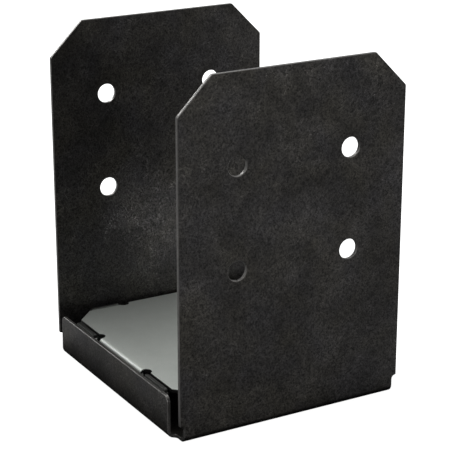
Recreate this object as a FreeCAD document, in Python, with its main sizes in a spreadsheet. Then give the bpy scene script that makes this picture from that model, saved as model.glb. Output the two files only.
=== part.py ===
import FreeCAD, Part
import collections
import math
import os

import Sketcher

# Post base: a folded sheet-metal bracket that is bolted down on a slab, and a loose standoff plate
# that keeps the end of the post off its base. Millimetres, +Z up. The origin is the centre of the
# bracket's underside. X runs across the two side plates, and Y runs along them, from lip to lip.

SHEET = "Dimensions"

# alias, value in mm, what it is
DIMENSIONS = [
    ("post_width", 190.5, "clear width between the side plates, for a dressed 8 in post"),
    ("gauge", 2.66, "12-gauge bracket sheet"),
    ("bend_inside", 3.0, "inside radius of the bracket's bends"),
    ("plate_length", 177.8, "side plate, along Y"),
    ("plate_height", 254.0, "side plate, up from the underside"),
    ("clip", 25.4, "45 degree cut at each top corner of a side plate"),
    ("clip_round", 2.0, "rounding where the cut meets the plate's edges"),
    ("bolt_hole", 14.29, "diameter of the through-bolt holes"),
    ("bolt_row", 88.9, "spacing of the bolt holes along Y"),
    ("bolt_rise", 73.03, "spacing of the bolt holes up the plate"),
    ("bolt_low_right", 117.48, "height of the lower bolt holes in the plate at +X"),
    ("bolt_low_left", 123.83, "height of the lower bolt holes in the plate at -X"),
    ("lip_span", 183.6, "outer face of the front lip to outer face of the rear lip"),
    ("lip_length", 170.6, "each lip, along X"),
    ("lip_height", 31.4, "top of the lips, up from the underside"),
    ("lip_round", 5.0, "rounding of the lips' top corners"),
    ("base_length", 170.8, "base plate along Y where its edge is free, beside the lips"),
    ("relief_height", 13.0, "height up to which the side plates' edges are cut back"),
    ("relief_round", 3.0, "inside radius of the corner reliefs"),
    ("anchor_hole", 17.5, "diameter of the anchor holes in the base"),
    ("anchor_pitch", 88.9, "spacing of the anchor holes along Y"),
    ("standoff_gauge", 2.66, "12-gauge standoff sheet"),
    ("standoff_height", 27.4, "top of the standoff plate, up from the bracket's base"),
    ("top_width", 172.6, "flat top of the standoff plate, along X"),
    ("top_depth", 162.8, "flat top of the standoff plate, along Y"),
    ("top_clip", 13.5, "45 degree cut at each corner of the flat top"),
    ("leg_bend_inside", 1.5, "inside radius of the legs' bends"),
    ("legs_across", 181.9, "outer face to outer face of the two legs at the sides"),
    ("legs_along", 172.1, "outer face to outer face of the front and rear legs"),
    ("notch_radius", 4.0, "round notch at each end of a leg's bend"),
    ("notches_front", 74.0, "spacing of the notches of the front and rear legs"),
    ("notches_side", 76.0, "spacing of the notches of the side legs"),
    ("leg_width_front", 142.0, "front and rear legs, along X"),
    ("leg_width_side", 132.0, "side legs, along Y"),
    ("leg_round", 3.0, "rounding of the legs' upper corners"),
]


# Distances that several sketches share, as expressions of the sheet's aliases.
INNER_FACE = "post_width / 2"
OUTER_FACE = "( post_width / 2 + gauge )"
BEND = "( bend_inside + gauge )"
FREE_EDGE = "base_length / 2"
TOP_LEVEL = "( gauge + standoff_height )"
LEG_BEND = "( leg_bend_inside + standoff_gauge )"

LIP_SIDES = ((-1, "front"), (1, "rear"))

# An edge lies along an axis if that part of its unit direction is over this.
ALONG = 0.99


def near(measure, target):
    """Say whether two lengths agree to a hundredth of a millimetre."""
    return abs(measure - target) < 0.01


def add_sheet(document):
    """Put the driving dimensions in a spreadsheet, one alias to a row."""
    sheet = document.addObject("Spreadsheet::Sheet", SHEET)
    for row, (alias, value, note) in enumerate(DIMENSIONS, start=1):
        sheet.set(f"A{row}", str(value))
        sheet.setAlias(f"A{row}", alias)
        sheet.set(f"B{row}", note)
    return sheet


def cells(expression):
    """Write each alias in an expression as a cell of the sheet."""
    aliases = {alias for alias, _, _ in DIMENSIONS}
    words = [f"{SHEET}.{word}" if word in aliases else word for word in expression.split()]
    return " ".join(words)


def new_body(document, label):
    """Start a sub-part; its label is the name of its file."""
    body = document.addObject("PartDesign::Body", "Body_" + label)
    body.Label = label
    return body


def new_sketch(body, name, plane_role, offset="0"):
    """Attach a sketch to one of the body's own origin planes, lifted along the plane's normal."""
    sketch = body.newObject("Sketcher::SketchObject", name)
    plane = next(item for item in body.Origin.OriginFeatures if item.Role == plane_role)
    sketch.AttachmentSupport = [(plane, "")]
    sketch.MapMode = "FlatFace"
    sketch.setExpression("AttachmentOffset.Base.z", cells(offset))
    return sketch


def pin_point(sketch, geometry, position, x_text, y_text):
    """Hold one point of the sketch at two distances from its origin, read from the sheet."""
    for kind, text in (("DistanceX", x_text), ("DistanceY", y_text)):
        value = sketch.evalExpression(cells(text))
        index = sketch.addConstraint(Sketcher.Constraint(kind, -1, 1, geometry, position, float(value)))
        sketch.setExpression(f"Constraints[{index}]", cells(text))


def quarter_arc(start, end, centre):
    """Return the arc from start to end about centre, and which of its ends is the start."""
    angles = [math.atan2(point.y - centre.y, point.x - centre.x) for point in (start, end)]
    turn = (angles[1] - angles[0]) % (2 * math.pi)
    if turn > math.pi:
        angles.reverse()
    radius = (start - centre).Length
    arc = Part.ArcOfCircle(Part.Circle(centre, FreeCAD.Vector(0, 0, 1), radius), angles[0], angles[1])
    return arc, (2 if turn > math.pi else 1)


def add_outline(sketch, corners):
    """Draw a closed outline through corners (x, y) or (x, y, radius, centre x, centre y).

    Each value is an expression. A corner with a radius starts a quarter arc to the next corner.
    """
    def point_at(x_text, y_text):
        return FreeCAD.Vector(*(float(sketch.evalExpression(cells(text))) for text in (x_text, y_text)), 0)

    ends = []
    for corner, following in zip(corners, corners[1:] + corners[:1]):
        start = point_at(*corner[:2])
        end = point_at(*following[:2])
        if len(corner) == 2:
            geometry = sketch.addGeometry(Part.LineSegment(start, end))
            first = 1
        else:
            arc, first = quarter_arc(start, end, point_at(*corner[3:]))
            geometry = sketch.addGeometry(arc)
            index = sketch.addConstraint(Sketcher.Constraint("Radius", geometry, arc.Radius))
            sketch.setExpression(f"Constraints[{index}]", cells(corner[2]))
        ends.append((geometry, first))
    for place, (geometry, first) in enumerate(ends):
        before, before_first = ends[place - 1]
        sketch.addConstraint(Sketcher.Constraint("Coincident", before, 3 - before_first, geometry, first))
        pin_point(sketch, geometry, first, corners[place][0], corners[place][1])


def add_circles(sketch, radius_text, centres):
    """Draw one circle at each pair of centre expressions."""
    for x_text, y_text in centres:
        centre = [float(sketch.evalExpression(cells(text))) for text in (x_text, y_text)]
        radius = float(sketch.evalExpression(cells(radius_text)))
        circle = Part.Circle(FreeCAD.Vector(*centre, 0), FreeCAD.Vector(0, 0, 1), radius)
        geometry = sketch.addGeometry(circle)
        index = sketch.addConstraint(Sketcher.Constraint("Radius", geometry, radius))
        sketch.setExpression(f"Constraints[{index}]", cells(radius_text))
        pin_point(sketch, geometry, 3, x_text, y_text)


def pad(body, sketch, length, symmetric=False):
    """Add the sketch's outline as a solid of the given length."""
    feature = body.newObject("PartDesign::Pad", "Pad_" + sketch.Name)
    feature.Profile = sketch
    feature.SideType = "Symmetric" if symmetric else "One side"
    feature.setExpression("Length", cells(length))
    return feature


def pocket(body, sketch, length=None, downward=True):
    """Cut the sketch's outline: right through both ways, or one way to the given length."""
    feature = body.newObject("PartDesign::Pocket", "Cut_" + sketch.Name)
    feature.Profile = sketch
    if length is None:
        feature.Type = "ThroughAll"
        feature.SideType = "Symmetric"
    else:
        feature.Reversed = not downward
        feature.setExpression("Length", cells(length))
    return feature


def negative(expression):
    """Return the same distance on the other side of the origin."""
    return f"-1 * ( {expression} )"


def signed(sign, expression):
    """Return a distance to one side of the origin or the other."""
    return expression if sign > 0 else negative(expression)


def edges_where(shape, test):
    """Name the straight edges of a shape whose middle and direction pass a test."""
    names = []
    for number, edge in enumerate(shape.Edges, start=1):
        if isinstance(edge.Curve, Part.Line):
            middle = edge.CenterOfMass
            direction = edge.tangentAt(edge.FirstParameter)
            if test(middle, direction):
                names.append(f"Edge{number}")
    return names


def dress(body, kind, name, base, edge_names, size_property, size):
    """Round or chamfer the named edges of the feature before."""
    feature = body.newObject(kind, name)
    feature.Base = (base, edge_names)
    feature.setExpression(size_property, cells(size))
    return feature


def fold_channel(body):
    """Pad the base and the side plates: a U with a bend at each foot."""
    channel = new_sketch(body, "channel", "XZ_Plane")
    foot = f"{OUTER_FACE} - {BEND}"
    inner_foot = f"{INNER_FACE} - bend_inside"
    add_outline(channel, [
        (negative(OUTER_FACE), "plate_height"),
        (negative(OUTER_FACE), BEND, BEND, negative(foot), BEND),
        (negative(foot), "0"),
        (foot, "0", BEND, foot, BEND),
        (OUTER_FACE, BEND),
        (OUTER_FACE, "plate_height"),
        (INNER_FACE, "plate_height"),
        (INNER_FACE, BEND, "bend_inside", inner_foot, BEND),
        (inner_foot, "gauge"),
        (negative(inner_foot), "gauge", "bend_inside", negative(inner_foot), BEND),
        (negative(INNER_FACE), BEND),
        (negative(INNER_FACE), "plate_height"),
    ])
    pad(body, channel, "plate_length", symmetric=True)


def cut_foot_reliefs(body):
    """Stop the base and the feet of the side plates short of the plates' edges."""
    shoulder = f"{FREE_EDGE} + relief_round"
    for sign, side in LIP_SIDES:
        relief = new_sketch(body, "relief_" + side, "YZ_Plane")
        add_outline(relief, [
            (signed(sign, FREE_EDGE), "-1 * gauge"),
            (signed(sign, FREE_EDGE), "relief_height - relief_round", "relief_round",
             signed(sign, shoulder), "relief_height - relief_round"),
            (signed(sign, shoulder), "relief_height"),
            (signed(sign, "plate_length"), "relief_height"),
            (signed(sign, "plate_length"), "-1 * gauge"),
        ])
        pocket(body, relief)


def fold_lips(body):
    """Raise each lip from the base on a bend, wide enough for the round reliefs at its ends."""
    outer = "lip_span / 2"
    inner = "( lip_span / 2 - gauge )"
    root = "base_length / 4"
    for sign, side in LIP_SIDES:
        lip = new_sketch(body, "lip_" + side, "YZ_Plane")
        add_outline(lip, [
            (signed(sign, root), "0"),
            (signed(sign, f"{outer} - {BEND}"), "0", BEND, signed(sign, f"{outer} - {BEND}"), BEND),
            (signed(sign, outer), BEND),
            (signed(sign, outer), "lip_height"),
            (signed(sign, inner), "lip_height"),
            (signed(sign, inner), BEND, "bend_inside", signed(sign, f"{inner} - bend_inside"), BEND),
            (signed(sign, f"{inner} - bend_inside"), "gauge"),
            (signed(sign, root), "gauge"),
        ])
        pad(body, lip, "lip_length + 2 * relief_round", symmetric=True)


def trim_lip_ends(body):
    """Trim each lip end back, with a round inside corner where it leaves the base's edge."""
    end = "lip_length / 2"
    corner_x = f"{end} + relief_round"
    corner_y = f"{FREE_EDGE} + relief_round"
    trimmed = None
    for x_sign, x_side in ((-1, "left"), (1, "right")):
        for y_sign, y_side in LIP_SIDES:
            trim = new_sketch(body, f"trim_{x_side}_{y_side}", "XY_Plane")
            add_outline(trim, [
                (signed(x_sign, end), signed(y_sign, "lip_span")),
                (signed(x_sign, end), signed(y_sign, corner_y), "relief_round",
                 signed(x_sign, corner_x), signed(y_sign, corner_y)),
                (signed(x_sign, corner_x), signed(y_sign, FREE_EDGE)),
                (signed(x_sign, f"{corner_x} + gauge"), signed(y_sign, FREE_EDGE)),
                (signed(x_sign, f"{corner_x} + gauge"), signed(y_sign, "lip_span")),
            ])
            trimmed = pocket(body, trim)
    return trimmed


def dress_corners(document, body, trimmed, sheet):
    """Round the lips' top corners, and clip and ease those of the side plates."""
    document.recompute()
    lip_top = sheet.get("lip_height")
    lip_end = sheet.get("lip_length") / 2
    lip_corners = edges_where(trimmed.Shape, lambda middle, direction: (
        abs(direction.y) > ALONG and near(middle.z, lip_top) and near(abs(middle.x), lip_end)))
    rounded = dress(body, "PartDesign::Fillet", "lip_corners", trimmed, lip_corners, "Radius", "lip_round")
    document.recompute()

    top = sheet.get("plate_height")
    clip = sheet.get("clip")
    plate_end = sheet.get("plate_length") / 2
    plate_corners = edges_where(rounded.Shape, lambda middle, direction: (
        abs(direction.x) > ALONG and near(middle.z, top) and near(abs(middle.y), plate_end)))
    clipped = dress(body, "PartDesign::Chamfer", "clipped_corners", rounded, plate_corners, "Size", "clip")
    document.recompute()

    clip_ends = edges_where(clipped.Shape, lambda middle, direction: (
        abs(direction.x) > ALONG and (
            near(middle.z, top - clip)
            or near(middle.z, top) and near(abs(middle.y), plate_end - clip))))
    dress(body, "PartDesign::Fillet", "clip_rounding", clipped, clip_ends, "Radius", "clip_round")


def punch_bolt_holes(body):
    """Punch four bolt holes in each side plate.

    The two sets differ in height, so that screws driven from opposite sides of the post miss
    each other.
    """
    for side, low, outward in (("right", "bolt_low_right", True), ("left", "bolt_low_left", False)):
        bolts = new_sketch(body, "bolts_" + side, "YZ_Plane")
        add_circles(bolts, "bolt_hole / 2", [
            (signed(sign, "bolt_row / 2"), height)
            for sign in (-1, 1) for height in (low, f"{low} + bolt_rise")])
        pocket(body, bolts, "post_width", downward=not outward)


def punch_anchor_holes(body):
    """Punch two anchor holes in the base, in line from lip to lip."""
    anchors = new_sketch(body, "anchors", "XY_Plane")
    add_circles(anchors, "anchor_hole / 2", [("0", signed(sign, "anchor_pitch / 2")) for sign in (-1, 1)])
    pocket(body, anchors)


def build_bracket(document, sheet):
    """Fold the base, the side plates and the two lips, then finish the corners and the holes."""
    body = new_body(document, "bracket")
    fold_channel(body)
    cut_foot_reliefs(body)
    fold_lips(body)
    trimmed = trim_lip_ends(body)
    dress_corners(document, body, trimmed, sheet)
    punch_bolt_holes(body)
    punch_anchor_holes(body)
    return body


# The four legs come in two pairs. section_plane shows a leg from its end, and face_plane from
# outside; normal is the way that face_plane's normal points along the leg's outward axis.
LegPair = collections.namedtuple("LegPair", "name section_plane face_plane normal span notches width")
LEG_PAIRS = (
    LegPair("along", "YZ_Plane", "XZ_Plane", -1, "legs_along", "notches_front", "leg_width_front"),
    LegPair("across", "XZ_Plane", "YZ_Plane", 1, "legs_across", "notches_side", "leg_width_side"),
)


def cut_flat_top(body):
    """Pad the flat top, a rectangle with its corners clipped."""
    top = new_sketch(body, "top", "XY_Plane", offset=f"{TOP_LEVEL} - standoff_gauge")
    half_x = "top_width / 2"
    half_y = "top_depth / 2"
    corners = []
    for x_sign, y_sign in ((-1, -1), (1, -1), (1, 1), (-1, 1)):
        pair = [
            (signed(x_sign, f"{half_x} - top_clip"), signed(y_sign, half_y)),
            (signed(x_sign, half_x), signed(y_sign, f"{half_y} - top_clip")),
        ]
        corners += pair if x_sign == -y_sign else pair[::-1]
    add_outline(top, corners)
    pad(body, top, "standoff_gauge")


def fold_leg(body, legs, sign, tag):
    """Turn one leg down from the top, and widen it below the ends of its bend."""
    outer = f"{legs.span} / 2"
    inner = f"( {legs.span} / 2 - standoff_gauge )"
    root = f"{legs.span} / 3"
    tangent = f"{TOP_LEVEL} - {LEG_BEND}"
    section = new_sketch(body, "leg_" + tag, legs.section_plane)
    add_outline(section, [
        (signed(sign, root), TOP_LEVEL),
        (signed(sign, f"{outer} - {LEG_BEND}"), TOP_LEVEL, LEG_BEND,
         signed(sign, f"{outer} - {LEG_BEND}"), tangent),
        (signed(sign, outer), tangent),
        (signed(sign, outer), "gauge"),
        (signed(sign, inner), "gauge"),
        (signed(sign, inner), tangent, "leg_bend_inside",
         signed(sign, f"{inner} - leg_bend_inside"), tangent),
        (signed(sign, f"{inner} - leg_bend_inside"), f"{TOP_LEVEL} - standoff_gauge"),
        (signed(sign, root), f"{TOP_LEVEL} - standoff_gauge"),
    ])
    pad(body, section, legs.notches, symmetric=True)

    bend_end = f"{legs.notches} / 2"
    side_edge = f"{legs.width} / 2"
    ledge = inner if sign * legs.normal > 0 else negative(outer)
    for end, end_name in ((-1, "low"), (1, "high")):
        shoulder = new_sketch(body, f"shoulder_{tag}_{end_name}", legs.face_plane, ledge)
        add_outline(shoulder, [
            (signed(end, bend_end), "gauge"),
            (signed(end, bend_end), TOP_LEVEL),
            (signed(end, f"{side_edge} - leg_round"), TOP_LEVEL, "leg_round",
             signed(end, f"{side_edge} - leg_round"), f"{TOP_LEVEL} - leg_round"),
            (signed(end, side_edge), f"{TOP_LEVEL} - leg_round"),
            (signed(end, side_edge), "gauge"),
        ])
        pad(body, shoulder, "standoff_gauge")


def punch_notches(body, legs, sign, tag):
    """Open a round notch at each end of a leg's bend, both in the flat top and in the leg."""
    reach = f"{LEG_BEND} / 4"
    line = signed(sign, f"{legs.span} / 2 - {LEG_BEND} + {reach}")
    ends = [signed(end, f"{legs.notches} / 2") for end in (-1, 1)]
    in_top = new_sketch(body, "notch_top_" + tag, "XY_Plane", offset=TOP_LEVEL)
    add_circles(in_top, "notch_radius", [
        (end, line) if legs.name == "along" else (line, end) for end in ends])
    pocket(body, in_top, "standoff_gauge")

    outward = sign * legs.normal
    in_leg = new_sketch(body, "notch_leg_" + tag, legs.face_plane, signed(outward, f"{legs.span} / 2"))
    add_circles(in_leg, "notch_radius", [(end, f"{TOP_LEVEL} - {reach}") for end in ends])
    pocket(body, in_leg, LEG_BEND, downward=outward > 0)


def build_standoff(document):
    """Cut the flat top and fold its four legs."""
    body = new_body(document, "standoff_plate")
    cut_flat_top(body)
    for legs in LEG_PAIRS:
        for sign, end_name in ((-1, "low"), (1, "high")):
            tag = f"{legs.name}_{end_name}"
            fold_leg(body, legs, sign, tag)
            punch_notches(body, legs, sign, tag)
    return body


def check_document(document, bodies):
    """Stop if any feature failed or any sub-part isn't one sound solid."""
    for item in document.Objects:
        if "Invalid" in item.State or "Error" in item.State:
            raise RuntimeError(f"{item.Name} failed: {item.State}")
    for body in bodies:
        shape = body.Shape
        if shape.isNull() or not shape.isValid() or len(shape.Solids) != 1:
            raise RuntimeError(f"{body.Label} isn't one valid solid")
        print(f"{body.Label}: {shape.Volume:.0f} mm3, box {shape.BoundBox}")


def main():
    """Build the document and write one STEP file for each sub-part."""
    document = FreeCAD.newDocument("PostBase")
    sheet = add_sheet(document)
    document.recompute()
    bodies = [build_bracket(document, sheet), build_standoff(document)]
    document.recompute()
    check_document(document, bodies)
    os.makedirs("parts", exist_ok=True)
    for body in bodies:
        body.Shape.exportStep(f"parts/{body.Label}.step")


main()
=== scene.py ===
import math

import bmesh
import bpy
import numpy as np
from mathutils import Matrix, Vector
from mathutils.geometry import delaunay_2d_cdt


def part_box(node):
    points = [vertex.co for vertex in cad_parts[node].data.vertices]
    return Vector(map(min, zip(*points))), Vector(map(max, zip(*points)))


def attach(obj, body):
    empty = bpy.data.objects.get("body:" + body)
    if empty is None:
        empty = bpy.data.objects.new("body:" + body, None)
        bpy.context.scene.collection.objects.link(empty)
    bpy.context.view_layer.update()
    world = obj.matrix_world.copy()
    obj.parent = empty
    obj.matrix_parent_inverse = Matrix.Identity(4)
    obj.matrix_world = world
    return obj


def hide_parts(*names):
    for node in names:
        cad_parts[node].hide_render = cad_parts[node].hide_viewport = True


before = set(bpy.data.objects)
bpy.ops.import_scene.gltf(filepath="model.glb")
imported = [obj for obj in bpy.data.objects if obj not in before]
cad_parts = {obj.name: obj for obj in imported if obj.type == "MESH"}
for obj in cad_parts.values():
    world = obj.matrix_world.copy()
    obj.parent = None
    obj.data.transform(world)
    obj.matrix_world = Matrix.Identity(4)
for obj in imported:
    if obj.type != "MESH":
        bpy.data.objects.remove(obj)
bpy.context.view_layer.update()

# Post base: a folded bracket and a loose standoff plate, each one sheet. Every sheet is drawn
# flat, in millimetres along its outer face, and then folded. Depths are measured from that face.

MM = 0.001
QUARTER = math.pi / 2
SAME_POINT = 1e-4       # two points of an outline closer than this are one
TINY = 1e-6             # lengths and areas under this are rounding error
SHORT_SIDE = 1.3        # a side of an outline shorter than this isn't divided
END_GAP = 0.3           # a side isn't cut nearer than this to its own ends
GRID_GAP = 0.55         # grid points stay this far from every edge

bracket_low, bracket_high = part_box("bracket")
standoff_low, standoff_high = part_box("standoff_plate")


# ---------------------------------------------------------------- drawing the flat sheets

def arc(centre, radius, start, end, steps):
    """Points on an arc, both ends included; angles in degrees."""
    angles = np.radians(np.linspace(start, end, steps + 1))
    return [(centre[0] + radius * math.cos(a), centre[1] + radius * math.sin(a)) for a in angles]


def circle(centre, radius, steps=48):
    """A closed loop of points, turning clockwise, as the edge of a hole."""
    return arc(centre, radius, 360, 0, steps)[:-1]


def mirrored(quadrant):
    """Close a path from the +X axis to the +Y axis into an outline with both symmetries."""
    left = [(-x, y) for x, y in reversed(quadrant)]
    upper = quadrant + left
    lower = [(x, -y) for x, y in reversed(upper)]
    return upper + lower


def without_repeats(points):
    """Drop points that lie on the one before."""
    kept = []
    for point in points:
        if not kept or math.dist(point, kept[-1]) > SAME_POINT:
            kept.append(point)
    if math.dist(kept[0], kept[-1]) < SAME_POINT:
        kept.pop()
    return kept


def divided(points, lines_x, lines_y, longest):
    """Divide an outline's long sides, along the grid's lines where a side is straight in X or Y."""
    result = []
    for start, end in zip(points, points[1:] + points[:1]):
        result.append(start)
        dx, dy = end[0] - start[0], end[1] - start[1]
        length = math.hypot(dx, dy)
        if length < SHORT_SIDE:
            continue
        if min(abs(dx), abs(dy)) < TINY:
            along_x = abs(dy) < TINY
            a, b = (start[0], end[0]) if along_x else (start[1], end[1])
            lines = lines_x if along_x else lines_y
            low, high = min(a, b), max(a, b)
            cuts = sorted((v for v in lines if low + END_GAP < v < high - END_GAP), reverse=a > b)
            result += [(v, start[1]) if along_x else (start[0], v) for v in cuts]
        else:
            parts = max(1, math.ceil(length / longest))
            result += [(start[0] + dx * k / parts, start[1] + dy * k / parts) for k in range(1, parts)]
    return result


def inward(loop):
    """For each point of a loop, the vector that moves its corner inward by one unit."""
    points = np.array(loop)
    before = points - np.roll(points, 1, 0)
    after = np.roll(points, -1, 0) - points
    before /= np.linalg.norm(before, axis=1)[:, None]
    after /= np.linalg.norm(after, axis=1)[:, None]
    normals = [np.stack([-d[:, 1], d[:, 0]], 1) for d in (before, after)]
    total = normals[0] + normals[1]
    return total / (1 + (normals[0] * normals[1]).sum(1))[:, None]


def is_inside(points, loop):
    """Say which points lie inside a closed loop."""
    inside = np.zeros(len(points), bool)
    x, y = points[:, 0], points[:, 1]
    for (x0, y0), (x1, y1) in zip(loop, np.roll(loop, -1, 0)):
        if y0 == y1:
            continue
        crosses = (y0 > y) != (y1 > y)
        inside ^= crosses & (x < (x1 - x0) * (y - y0) / (y1 - y0) + x0)
    return inside


def clearance(points, loop):
    """Distance from each point to the nearest side of a loop."""
    nearest = np.full(len(points), np.inf)
    for start, end in zip(loop, np.roll(loop, -1, 0)):
        side = end - start
        t = np.clip(((points - start) @ side) / (side @ side), 0, 1)
        nearest = np.minimum(nearest, np.linalg.norm(points - start - t[:, None] * side, axis=1))
    return nearest


def tiled(loops, grid):
    """Triangulate a face: its loops, the outer one first, and the grid points inside them."""
    keep = is_inside(grid, loops[0])
    for number, loop in enumerate(loops):
        if number:
            keep &= ~is_inside(grid, loop)
        keep &= clearance(grid, loop) > GRID_GAP
    inner = grid[keep]
    points = np.concatenate(loops + [inner])
    edges, first = [], 0
    for loop in loops:
        count = len(loop)
        edges += [(first + k, first + (k + 1) % count) for k in range(count)]
        first += count
    made = delaunay_2d_cdt([Vector(p) for p in points], edges, [], 0, TINY)
    order = [ids[0] for ids in made[3]]
    triangles = np.array([[order[v] for v in face] for face in made[2]])
    corners = points[triangles]
    ax, ay = (corners[:, 1] - corners[:, 0]).T
    bx, by = (corners[:, 2] - corners[:, 0]).T
    middles = corners.mean(1)
    keep = is_inside(middles, loops[0]) & (np.abs(ax * by - ay * bx) > TINY)
    for loop in loops[1:]:
        keep &= ~is_inside(middles, loop)
    return inner, triangles[keep]


def edge_rows(gauge, outer_round, inner_round, steps=5):
    """Rows across a sheared edge: inset, depth, turn of the normal from the outer face, and rim."""
    rows = []
    for k in range(steps + 1):
        a = QUARTER * k / steps
        rows.append((outer_round * (1 - math.sin(a)), outer_round * (1 - math.cos(a)), a, k / steps))
    for k in range(steps + 1):
        a = QUARTER * k / steps
        rows.append((inner_round * (1 - math.cos(a)), gauge - inner_round * (1 - math.sin(a)),
                     QUARTER + a, 1 - k / steps))
    return rows


def fold_sheet(name, outline, holes, grid, gauge, rounds, fold):
    """Make the solid mesh of a sheet: two tiled faces, and a rounded edge along every loop."""
    loops = [np.array(outline)] + [np.array(h) for h in holes]
    moves = [inward(loop) for loop in loops]
    rows = edge_rows(gauge, *rounds)
    flat, depth, turn, away, rim, faces = [], [], [], [], [], []

    row_starts = []
    for loop, move in zip(loops, moves):
        starts = []
        for inset, deep, angle, edge_wear_and_painted_light in rows:
            starts.append(len(flat))
            for point, step in zip(loop, move):
                flat.append(point + step * inset)
                depth.append(deep)
                turn.append(angle)
                away.append(-step / np.linalg.norm(step))
                rim.append(edge_wear_and_painted_light)
        count = len(loop)
        for low, high in zip(starts, starts[1:]):
            for k in range(count):
                following = (k + 1) % count
                faces.append((low + following, low + k, high + k, high + following))
        row_starts.append(starts)

    for row, deep, angle in ((0, 0.0, 0.0), (-1, gauge, math.pi)):
        inset = rows[row][0]
        insets = [loop + move * inset for loop, move in zip(loops, moves)]
        inner, triangles = tiled(insets, grid)
        numbers = []
        for loop, starts in zip(loops, row_starts):
            numbers += range(starts[row], starts[row] + len(loop))
        numbers += range(len(flat), len(flat) + len(inner))
        for point in inner:
            flat.append(point)
            depth.append(deep)
            turn.append(angle)
            away.append(np.zeros(2))
            rim.append(0.0)
        numbers = np.array(numbers)
        chosen = numbers[triangles]
        faces += [tuple(face) for face in (chosen if row == 0 else chosen[:, ::-1])]

    places, along_x, along_y, out = fold(np.array(flat), np.array(depth))
    turn, away = np.array(turn)[:, None], np.array(away)
    sideways = along_x * away[:, :1] + along_y * away[:, 1:]
    normals = out * np.cos(turn) + sideways * np.sin(turn)
    normals /= np.linalg.norm(normals, axis=1)[:, None]

    mesh = bpy.data.meshes.new(name)
    mesh.from_pydata((places * MM).tolist(), [], faces)
    rim_layer = mesh.attributes.new("rim", "FLOAT", "POINT")
    rim_layer.data.foreach_set("value", np.array(rim, np.float32))
    work = bmesh.new()
    work.from_mesh(mesh)
    bmesh.ops.join_triangles(
        work, faces=[f for f in work.faces if len(f.verts) == 3], angle_face_threshold=0.02,
        angle_shape_threshold=0.35)
    bmesh.ops.recalc_face_normals(work, faces=work.faces)
    work.to_mesh(mesh)
    work.free()
    mesh.shade_smooth()
    mesh.normals_split_custom_set_from_vertices(normals.tolist())
    mesh.update()
    piece = bpy.data.objects.new(name, mesh)
    bpy.context.scene.collection.objects.link(piece)
    return piece


def steps_between(low, high, longest):
    """Even steps from low to high, both included."""
    return list(np.linspace(low, high, max(1, math.ceil((high - low) / longest)) + 1))


def both_signs(values):
    """The values and their mirror images, sorted, each one once."""
    return sorted({round(float(v), 6) for v in values} | {round(-float(v), 6) for v in values})


# ---------------------------------------------------------------- the bracket

GAUGE = 2.66
BRACKET_ROUNDS = (0.6, 0.4)             # rounds of the sheared edges: outer face, inner face
FACE = bracket_high.x / MM              # outer face of a side plate
LIP_FACE = bracket_high.y / MM          # outer face of a lip
PLATE_TOP = bracket_high.z / MM
BEND = 3.0 + GAUGE                      # outer radius of the bends
ARC = BEND * QUARTER
PLATE_BEND = FACE - BEND                # where the base starts to turn up into a side plate
LIP_BEND = LIP_FACE - BEND
PLATE_END = 177.8 / 2
FREE_EDGE = 170.8 / 2
LIP_END = 170.6 / 2
LIP_TOP = 31.4
LIP_ROUND = 5.0
RELIEF = 13.0
RELIEF_ROUND = 3.0
NIB_ROUND = 0.72                        # small round where a side plate's edge meets its relief
CLIP = 25.4
CLIP_ROUND = 2.0
BOLT_RADIUS = 14.29 / 2
BOLT_ROW = 88.9 / 2
BOLT_RISE = 73.03
BOLT_LOW = {1: 117.48, -1: 123.83}
ANCHOR_RADIUS = 17.5 / 2
FLAT_STEP, BEND_STEP = 4.2, 0.9         # the bracket's mesh spacing
END_MARGIN = 2.5                        # between the last grid line and a side plate's edge
LIP_MARGIN = 2                          # how far the lip's grid lines run past its ends


def up_plate(height):
    """Distance along the flat sheet to a height on a side plate."""
    return PLATE_BEND + ARC + height - BEND


def up_lip(height):
    """Distance along the flat sheet to a height on a lip."""
    return LIP_BEND + ARC + height - BEND


def bracket_outline():
    """A quarter of the bracket's flat outline, from the plate's top to the lip's top."""
    slant = CLIP_ROUND * math.tan(math.radians(22.5))
    top, end = up_plate(PLATE_TOP), PLATE_END
    low_corner = (top - CLIP, end)
    high_corner = (top, end - CLIP)
    relief = up_plate(RELIEF)
    hollow = end - NIB_ROUND - FREE_EDGE
    quarter = [(top, 0.0)]
    quarter += arc((top - CLIP_ROUND, high_corner[1] - slant), CLIP_ROUND, 0, 45, 4)
    quarter += arc((low_corner[0] - slant, end - CLIP_ROUND), CLIP_ROUND, 45, 90, 4)
    quarter += arc((relief + NIB_ROUND, end - NIB_ROUND), NIB_ROUND, 90, 180, 3)
    quarter += arc((relief - hollow, end - NIB_ROUND), hollow, 0, -90, 8)
    quarter += arc((LIP_END + RELIEF_ROUND, FREE_EDGE + RELIEF_ROUND), RELIEF_ROUND, -90, -180, 8)
    lip = up_lip(LIP_TOP)
    quarter += arc((LIP_END - LIP_ROUND, lip - LIP_ROUND), LIP_ROUND, 0, 90, 8)
    quarter += [(0.0, lip)]
    return without_repeats(mirrored(quarter))


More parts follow.
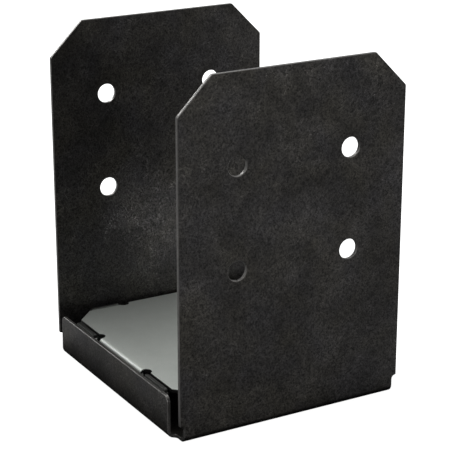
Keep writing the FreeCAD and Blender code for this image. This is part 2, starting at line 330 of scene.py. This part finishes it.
def fold_bracket(flat, depth):
    """Fold the flat bracket: side plates about Y, lips about X."""
    x, y = flat[:, 0], flat[:, 1]
    radius = BEND - depth
    places = np.stack([x, y, depth], 1)
    along_x = np.tile([1.0, 0, 0], (len(x), 1))
    along_y = np.tile([0, 1.0, 0], (len(x), 1))
    out = np.tile([0, 0, -1.0], (len(x), 1))
    in_plate = np.abs(x) > PLATE_BEND
    in_lip = ~in_plate & (np.abs(y) > LIP_BEND)
    for chosen, start, values, axis, along in (
            (in_plate, PLATE_BEND, x, 0, along_x), (in_lip, LIP_BEND, y, 1, along_y)):
        side = np.sign(values[chosen])
        past = np.abs(values[chosen]) - start
        angle = np.minimum(past / BEND, QUARTER)
        rise = np.maximum(past - ARC, 0)
        places[chosen, axis] = side * (start + radius[chosen] * np.sin(angle))
        places[chosen, 2] = BEND - radius[chosen] * np.cos(angle) + rise
        turned = np.zeros((chosen.sum(), 3))
        turned[:, axis] = np.cos(angle)
        turned[:, 2] = np.sin(angle) * side
        along[chosen] = turned
        facing = np.zeros((chosen.sum(), 3))
        facing[:, axis] = side * np.sin(angle)
        facing[:, 2] = -np.cos(angle)
        out[chosen] = facing
    return places, along_x, along_y, out


def make_bracket():
    """Draw, tile and fold the bracket's sheet."""
    bend_x = steps_between(PLATE_BEND, PLATE_BEND + ARC, BEND_STEP)
    bend_y = steps_between(LIP_BEND, LIP_BEND + ARC, BEND_STEP)
    flat_x = steps_between(0, PLATE_BEND, FLAT_STEP)
    plate_x = steps_between(PLATE_BEND + ARC, up_plate(PLATE_TOP), FLAT_STEP)
    flat_y = steps_between(0, PLATE_END - END_MARGIN, FLAT_STEP)
    lip_y = steps_between(LIP_BEND + ARC, up_lip(LIP_TOP), FLAT_STEP)
    lines_x = both_signs(flat_x + bend_x + plate_x)
    lines_y = both_signs(flat_y)
    lip_lines = both_signs(bend_y + lip_y)
    grid = [(x, y) for x in lines_x for y in lines_y if abs(x) >= PLATE_BEND or abs(y) <= LIP_BEND]
    grid += [(x, y) for x in lines_x if abs(x) < LIP_END + LIP_MARGIN for y in lip_lines]
    outline = divided(bracket_outline(), lines_x, sorted(lines_y + lip_lines), FLAT_STEP)
    holes = [circle((side * up_plate(low + rise), end * BOLT_ROW), BOLT_RADIUS)
             for side, low in BOLT_LOW.items() for rise in (0, BOLT_RISE) for end in (-1, 1)]
    holes += [circle((0, end * BOLT_ROW), ANCHOR_RADIUS) for end in (-1, 1)]
    return fold_sheet("bracket_sheet", outline, holes, np.array(grid), GAUGE, BRACKET_ROUNDS, fold_bracket)


# ---------------------------------------------------------------- the standoff plate

DECK = standoff_high.z / MM
LEG_FOOT = standoff_low.z / MM
LEG_BEND = 1.5 + GAUGE
LEG_ARC = LEG_BEND * QUARTER
LEG_ROUND = 3.0
DECK_CLIP = 13.5
NOTCH = 4.0                             # radius of the notches beside a leg's bend
SHOULDER_START = 1.1                    # past the bend's start, the sheet beside a notch is leg
LEG_STEP, LEG_BEND_STEP = 4.0, 0.7      # the standoff's mesh spacing
STANDOFF_ROUNDS = (0.45, 0.3)
# For the legs across X and along Y: free edge of the flat top, outer face of the leg, half the
# notch spacing and half the leg's width.
LEGS = {
    0: (172.6 / 2, standoff_high.x / MM, 76.0 / 2, 132.0 / 2),
    1: (162.8 / 2, standoff_high.y / MM, 74.0 / 2, 142.0 / 2),
}


def half_leg(edge, face, notch, half):
    """From the flat top's free edge round a notch and down one side of a leg: (along, outward)."""
    start = face - LEG_BEND
    tangent = start + LEG_ARC
    reach = LEG_BEND / 4
    deck_centre = start + reach
    leg_centre = tangent - (LEG_BEND - reach)
    shoulder = tangent - LEG_BEND
    foot = tangent + DECK - LEG_BEND - LEG_FOOT
    first = math.degrees(math.asin((edge - deck_centre) / NOTCH))
    path = arc((notch, deck_centre), NOTCH, first, -180, 14)
    path += arc((notch, leg_centre), NOTCH, 180, 0, 16)
    path += [(notch + NOTCH, shoulder)]
    path += arc((half - LEG_ROUND, shoulder + LEG_ROUND), LEG_ROUND, -90, 0, 6)
    path += [(half, foot), (0.0, foot)]
    return path


def standoff_outline():
    """A quarter of the standoff's flat outline, from the foot of a side leg to that of an end leg."""
    side = [(outward, along) for along, outward in reversed(half_leg(*LEGS[0]))]
    corner = [(LEGS[0][0], LEGS[1][0] - DECK_CLIP), (LEGS[0][0] - DECK_CLIP, LEGS[1][0])]
    return without_repeats(mirrored(side + corner + half_leg(*LEGS[1])))


def fold_standoff(flat, depth):
    """Fold the flat standoff: its legs turn down. Beside a bend, a leg's shoulder stands straight."""
    radius = LEG_BEND - depth
    places = np.stack([flat[:, 0], flat[:, 1], DECK - depth], 1)
    along = [np.tile([1.0, 0, 0], (len(flat), 1)), np.tile([0, 1.0, 0], (len(flat), 1))]
    out = np.tile([0, 0, 1.0], (len(flat), 1))
    for axis, (_, face, notch, _) in LEGS.items():
        start = face - LEG_BEND
        values, across = flat[:, axis], np.abs(flat[:, 1 - axis])
        shoulder = (across > notch) & (np.abs(values) > start + SHOULDER_START)
        chosen = (np.abs(values) > start) | shoulder
        side = np.sign(values[chosen])
        past = np.abs(values[chosen]) - start
        straight = shoulder[chosen]
        angle = np.where(straight, QUARTER, np.minimum(past / LEG_BEND, QUARTER))
        drop = np.where(straight, past - LEG_ARC, np.maximum(past - LEG_ARC, 0))
        places[chosen, axis] = side * (start + radius[chosen] * np.sin(angle))
        places[chosen, 2] = DECK - LEG_BEND + radius[chosen] * np.cos(angle) - drop
        turned = np.zeros((chosen.sum(), 3))
        turned[:, axis] = np.cos(angle)
        turned[:, 2] = -np.sin(angle) * side
        along[axis][chosen] = turned
        facing = np.zeros((chosen.sum(), 3))
        facing[:, axis] = side * np.sin(angle)
        facing[:, 2] = np.cos(angle)
        out[chosen] = facing
    return places, along[0], along[1], out


def make_standoff():
    """Draw, tile and fold the standoff's sheet."""
    lines = {}
    for axis, (_, face, _, _) in LEGS.items():
        start = face - LEG_BEND
        tangent = start + LEG_ARC
        values = steps_between(0, start, LEG_STEP) + steps_between(start, tangent, LEG_BEND_STEP)
        values += steps_between(tangent, tangent + DECK - LEG_BEND - LEG_FOOT, LEG_STEP)
        lines[axis] = both_signs(values)
    grid = [(x, y) for x in lines[0] for y in lines[1]]
    outline = divided(standoff_outline(), lines[0], lines[1], LEG_STEP)
    return fold_sheet("standoff_sheet", outline, [], np.array(grid), GAUGE, STANDOFF_ROUNDS, fold_standoff)


# ---------------------------------------------------------------- materials

class Nodes:
    """A short way to write a material's node tree."""

    def __init__(self, name):
        self.material = bpy.data.materials.new(name)
        self.material.use_nodes = True
        self.tree = self.material.node_tree
        self.shader = self.tree.nodes["Principled BSDF"]

    def add(self, kind, inputs=None, **settings):
        node = self.tree.nodes.new("ShaderNode" + kind)
        for key, value in settings.items():
            setattr(node, key, value)
        for key, value in (inputs or {}).items():
            self.set(node, key, value)
        return node

    def set(self, node, key, value):
        if isinstance(value, bpy.types.NodeSocket):
            self.tree.links.new(value, node.inputs[key])
        elif isinstance(value, bpy.types.Node):
            self.tree.links.new(value.outputs[0], node.inputs[key])
        else:
            node.inputs[key].default_value = value

    def noise(self, place, scale, detail=2.0, roughness=0.5, distortion=0.0):
        return self.add("TexNoise", {"Vector": place, "Scale": scale, "Detail": detail,
                                     "Roughness": roughness, "Distortion": distortion})

    def math(self, operation, a, b=0.0, clamp=False):
        node = self.add("Math", operation=operation, use_clamp=clamp)
        self.set(node, 0, a)
        self.set(node, 1, b)
        return node

    def spread(self, value, low, high, to_low, to_high):
        return self.add("MapRange", {"Value": value, "From Min": low, "From Max": high,
                                     "To Min": to_low, "To Max": to_high})

    def grey(self, level):
        return self.add("CombineColor", {0: level, 1: level, 2: level})

    def bent(self, place, noise, reach):
        """Push a place about by a noise, up to a reach in metres."""
        push = self.add("VectorMath", {0: noise.outputs["Color"], 1: (reach, reach, reach)},
                        operation="MULTIPLY")
        return self.add("VectorMath", {0: place, 1: push}, operation="ADD")

    def creases(self, place, scale, width):
        """A net of thin lines, 1 along each line and 0 away from it."""
        cells = self.add("TexVoronoi", {"Vector": place, "Scale": scale}, feature="DISTANCE_TO_EDGE")
        return self.spread(cells, 0.0, width, 1.0, 0.0)

    def mix(self, factor, a, b, blend="MIX"):
        node = self.add("Mix", data_type="RGBA", blend_type=blend)
        self.set(node, 0, factor)
        self.set(node, 6, a)
        self.set(node, 7, b)
        return node.outputs[2]


ZINC = (0.43, 0.452, 0.426, 1)
# Colours of the zinc's sheared edges: painted shade on those in the top, a painted glint on those low down
# the legs.
CUT_PAINTED_SHADE = (0.035, 0.035, 0.033, 1)
CUT_PAINTED_GLINT = (0.62, 0.63, 0.61, 1)
GLINT_BELOW = 0.0275                   # height in metres
COAT_COOL = (0.0312, 0.0300, 0.0306, 1)
COAT_WARM = (0.0356, 0.0334, 0.0292, 1)
# Colours of the coat's sheared edges: a rubbed, thinner film, made lighter also as a painted highlight for
# the light the rounded edges catch.
EDGE_WEAR_AND_SHEEN_DARK = (0.095, 0.092, 0.088, 1)
EDGE_WEAR_AND_SHEEN_LIGHT = (0.145, 0.141, 0.135, 1)


def powder_coat():
    """Textured black powder coat: a wrinkled, leathery film, thinner and greyer on sheared edges, where the
    lighter colour is also a painted highlight; the undersides carry painted shade.
    """
    nodes = Nodes("powder_coat_black")
    place = nodes.add("TexCoord").outputs["Object"]
    rim = nodes.add("Attribute", attribute_name="rim").outputs["Fac"]

    blotch = nodes.noise(place, 20, 4, 0.6, 0.8)
    smoke = nodes.noise(place, 85, 5, 0.66, 1.0)
    grain = nodes.noise(place, 760, 3, 0.7, 0.4)
    bent = nodes.bent(place, nodes.noise(place, 110, 4, 0.65), 0.016)
    patches = nodes.spread(nodes.noise(place, 26, 3, 0.55, 0.5), 0.44, 0.70, 0.20, 0.95)
    fine = nodes.math("MULTIPLY", nodes.creases(bent, 360.0, 0.20), 0.6)
    veins = nodes.math("MULTIPLY", nodes.math("ADD", nodes.creases(bent, 150.0, 0.13), fine), patches)

    level = nodes.math("MULTIPLY", nodes.spread(grain, 0.36, 0.64, 0.24, 1.76),
                       nodes.spread(smoke, 0.32, 0.68, 0.66, 1.32))
    level = nodes.math("MULTIPLY", level, nodes.spread(blotch, 0.36, 0.64, 0.76, 1.22))
    level = nodes.math("ADD", level, nodes.math("MULTIPLY", veins, 0.8))
    tone_place = nodes.spread(nodes.noise(place, 30, 2, 0.5, 0.3), 0.34, 0.66, 0.0, 1.0)
    tone = nodes.add("ValToRGB", {"Fac": tone_place})
    tone.color_ramp.elements[0].color = COAT_COOL
    tone.color_ramp.elements[1].color = COAT_WARM
    film = nodes.mix(1.0, tone.outputs["Color"], nodes.grey(level), "MULTIPLY")
    # Sheared edges: a rubbed, thinner film, whose lighter colour is partly a painted highlight.
    edge_wear_and_painted_light = nodes.mix(nodes.spread(smoke, 0.3, 0.7, 0.0, 1.0), EDGE_WEAR_AND_SHEEN_DARK, EDGE_WEAR_AND_SHEEN_LIGHT)
    coat = nodes.mix(nodes.spread(rim, 0.05, 0.5, 0.0, 1.0), film, edge_wear_and_painted_light)

    # Painted shade: the colour is darkened on the downward-facing undersides of the bends, so that the foot
    # stands out from a pale floor.
    upward = nodes.add("SeparateXYZ", {"Vector": nodes.add("TexCoord").outputs["Normal"]}).outputs["Z"]
    shade = nodes.spread(upward, -0.62, -0.12, 0.05, 1.0)
    nodes.set(nodes.shader, "Base Color", nodes.mix(1.0, coat, nodes.grey(shade), "MULTIPLY"))
    nodes.shader.inputs["Metallic"].default_value = 0.75
    nodes.shader.inputs["Specular IOR Level"].default_value = 0.5
    nodes.shader.inputs["IOR"].default_value = 1.5
    rough = nodes.math("ADD", nodes.spread(smoke, 0.3, 0.7, 0.37, 0.27),
                       nodes.spread(grain, 0.3, 0.7, 0.06, -0.06))
    nodes.set(nodes.shader, "Roughness", rough)

    height = nodes.math("ADD", nodes.math("MULTIPLY", smoke, 0.8), nodes.math("MULTIPLY", grain, 0.25))
    height = nodes.math("ADD", height, nodes.math("MULTIPLY", veins, 0.3))
    bump = nodes.add("Bump", {"Height": height, "Strength": 0.5, "Distance": 0.0006})
    nodes.set(nodes.shader, "Normal", bump)
    return nodes.material


def galvanised():
    """Galvanised sheet: satin zinc with a faint fine spangle. Sheared edges in the top are painted dark as
    painted shade, and those down the legs are painted near-white as a painted glint."""
    nodes = Nodes("galvanised_zinc")
    place = nodes.add("TexCoord").outputs["Object"]
    rim = nodes.add("Attribute", attribute_name="rim").outputs["Fac"]

    cloud = nodes.noise(place, 30, 3, 0.5, 0.2)
    bent = nodes.bent(place, nodes.noise(place, 150, 2), 0.005)
    spangle = nodes.add("TexVoronoi", {"Vector": bent, "Scale": 260.0})
    facet = nodes.add("SeparateColor", {"Color": spangle.outputs["Color"]}).outputs[0]
    grain = nodes.noise(place, 900, 3, 0.6)
    level = nodes.math("MULTIPLY", nodes.spread(cloud, 0.3, 0.7, 0.965, 1.035),
                       nodes.spread(facet, 0, 1, 0.98, 1.02))
    level = nodes.math("MULTIPLY", level, nodes.spread(grain, 0.3, 0.7, 0.95, 1.05))
    zinc = nodes.mix(1.0, ZINC, nodes.grey(level), "MULTIPLY")

    # Painted glint: sideways-facing sheared edges low on the legs get a near-white colour; the other sheared
    # edges get painted shade.
    height = nodes.add("SeparateXYZ", {"Vector": place}).outputs["Z"]
    upward = nodes.add("SeparateXYZ", {"Vector": nodes.add("TexCoord").outputs["Normal"]}).outputs["Z"]
    painted_glint_mask = nodes.math("MULTIPLY", nodes.math("LESS_THAN", height, GLINT_BELOW),
                        nodes.math("LESS_THAN", nodes.math("ABSOLUTE", upward), 0.6))
    cut = nodes.mix(painted_glint_mask, CUT_PAINTED_SHADE, CUT_PAINTED_GLINT)
    nodes.set(nodes.shader, "Base Color", nodes.mix(nodes.spread(rim, 0.05, 0.45, 0.0, 1.0), zinc, cut))
    nodes.shader.inputs["Metallic"].default_value = 0.75

    # The bends and the legs are a little smoother than the flat top.
    rough = nodes.math("ADD", nodes.spread(cloud, 0.3, 0.7, 0.62, 0.58),
                       nodes.spread(facet, 0, 1, -0.02, 0.02))
    rough = nodes.math("ADD", rough, nodes.spread(grain, 0.3, 0.7, -0.02, 0.02))
    rough = nodes.math("ADD", rough, nodes.spread(upward, 0.80, 0.97, -0.20, 0.0))
    nodes.set(nodes.shader, "Roughness", rough)
    relief = nodes.math("ADD", grain, nodes.math("MULTIPLY", facet, 0.15))
    bump = nodes.add("Bump", {"Height": relief, "Strength": 0.15, "Distance": 0.0001})
    nodes.set(nodes.shader, "Normal", bump)
    return nodes.material


# ---------------------------------------------------------------- the model

bracket = make_bracket()
bracket.data.materials.append(powder_coat())
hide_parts("bracket")
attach(bracket, "bracket")

standoff = make_standoff()
standoff.data.materials.append(galvanised())
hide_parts("standoff_plate")
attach(standoff, "standoff")


# ---------------------------------------------------------------- floor, light and camera

FLOOR_HALF, FLOOR_DROP = 14.0, 0.0002
# Painted shadow: the floor's colour is dark right under and around the object.
FLOOR_PAINTED_SHADOW, FLOOR_GREY = 0.03, 0.38     # the floor's grey under the object, and away from it
PAINTED_SHADOW_END, GREY_START = 0.100, 0.122     # distances from the middle over which one turns to the other
FLOOR_LIFT = 1.0
WORLD_STRENGTH = 0.68

# For each softbox: its place, the point it faces, its width and height, power and beam spread.
SOFTBOXES = {
    "key_left": ((-1.35, -0.12, 0.80), (0, 0, 0.05), 0.5, 0.5, 7.5, math.pi),
    "overhead": ((-0.50, 0.30, 1.8), (0, 0, 0), 1.0, 1.0, 12, math.pi),
    "fill_right": ((1.50, 0.10, 0.30), (0, 0, 0.1), 0.8, 0.4, 3.5, math.pi),
    "fill_front": ((0.90, -1.30, 1.20), (0, 0, 0.1), 0.8, 0.8, 2.5, math.pi),
    "glow_back": ((0.05, 0.155, 0.042), (-0.095, 0.02, 0.06), 0.09, 0.04, 0.008, 0.65),
}

CAMERA_PLACE = (0.9885, -0.5672, 0.5014)
CAMERA_DOWN, CAMERA_TURN = 0.328, 1.048
LENS = 132.312


def add_floor():
    """A wide, plain floor. It looks white, and casts only a soft grey light on the object. Right under and
    around the object it is painted dark, a painted shadow.
    """
    mesh = bpy.data.meshes.new("floor")
    corners = [(-1, -1), (1, -1), (1, 1), (-1, 1)]
    mesh.from_pydata([(x * FLOOR_HALF, y * FLOOR_HALF, -FLOOR_DROP) for x, y in corners], [], [(0, 1, 2, 3)])
    floor = bpy.data.objects.new("floor", mesh)
    bpy.context.scene.collection.objects.link(floor)
    nodes = Nodes("floor_white")
    along = nodes.add("SeparateXYZ", {"Vector": nodes.add("TexCoord").outputs["Object"]}).outputs
    away = nodes.math("MAXIMUM", nodes.math("ABSOLUTE", along["X"]), nodes.math("ABSOLUTE", along["Y"]))
    # Painted shadow: dark under the object, grey away from it.
    grey = nodes.spread(away, PAINTED_SHADOW_END, GREY_START, FLOOR_PAINTED_SHADOW, FLOOR_GREY)
    nodes.set(nodes.shader, "Base Color", nodes.grey(grey))
    nodes.shader.inputs["Roughness"].default_value = 0.9
    nodes.shader.inputs["Specular IOR Level"].default_value = 0.0
    nodes.shader.inputs["Emission Color"].default_value = (1, 1, 1, 1)
    seen = nodes.add("LightPath").outputs["Is Camera Ray"]
    nodes.set(nodes.shader, "Emission Strength", nodes.math("MULTIPLY", seen, FLOOR_LIFT))
    mesh.materials.append(nodes.material)


def add_softbox(name, place, target, width, height, power, spread):
    """A rectangular area light that faces a point."""
    data = bpy.data.lights.new(name, "AREA")
    data.shape = "RECTANGLE"
    data.size, data.size_y, data.energy, data.spread = width, height, power, spread
    light = bpy.data.objects.new(name, data)
    light.location = place
    light.visible_camera = False
    light.rotation_euler = (Vector(target) - Vector(place)).to_track_quat("-Z", "Y").to_euler()
    bpy.context.scene.collection.objects.link(light)


def add_camera():
    """The camera, from the right and a little above."""
    data = bpy.data.cameras.new("camera")
    data.sensor_width = 36.0
    data.lens = LENS
    data.clip_start, data.clip_end = 0.05, 60.0
    camera = bpy.data.objects.new("camera", data)
    camera.location = CAMERA_PLACE
    camera.rotation_euler = (QUARTER - CAMERA_DOWN, 0.0, CAMERA_TURN)
    bpy.context.scene.collection.objects.link(camera)
    bpy.context.scene.camera = camera


def set_world(strength):
    """An even surround, which looks white and lights the object softly."""
    world = bpy.data.worlds.new("studio")
    world.use_nodes = True
    tree = world.node_tree
    background = tree.nodes["Background"]
    background.inputs["Color"].default_value = (1.0, 1.0, 1.0, 1)
    seen = tree.nodes.new("ShaderNodeLightPath").outputs["Is Camera Ray"]
    level = tree.nodes.new("ShaderNodeMapRange")
    tree.links.new(seen, level.inputs["Value"])
    level.inputs["To Min"].default_value = strength
    level.inputs["To Max"].default_value = 1.0
    tree.links.new(level.outputs["Result"], background.inputs["Strength"])
    bpy.context.scene.world = world


add_floor()
set_world(WORLD_STRENGTH)
for name, settings in SOFTBOXES.items():
    add_softbox(name, *settings)
add_camera()
bpy.context.scene.view_settings.view_transform = "Standard"
bpy.context.scene.view_settings.look = "None"
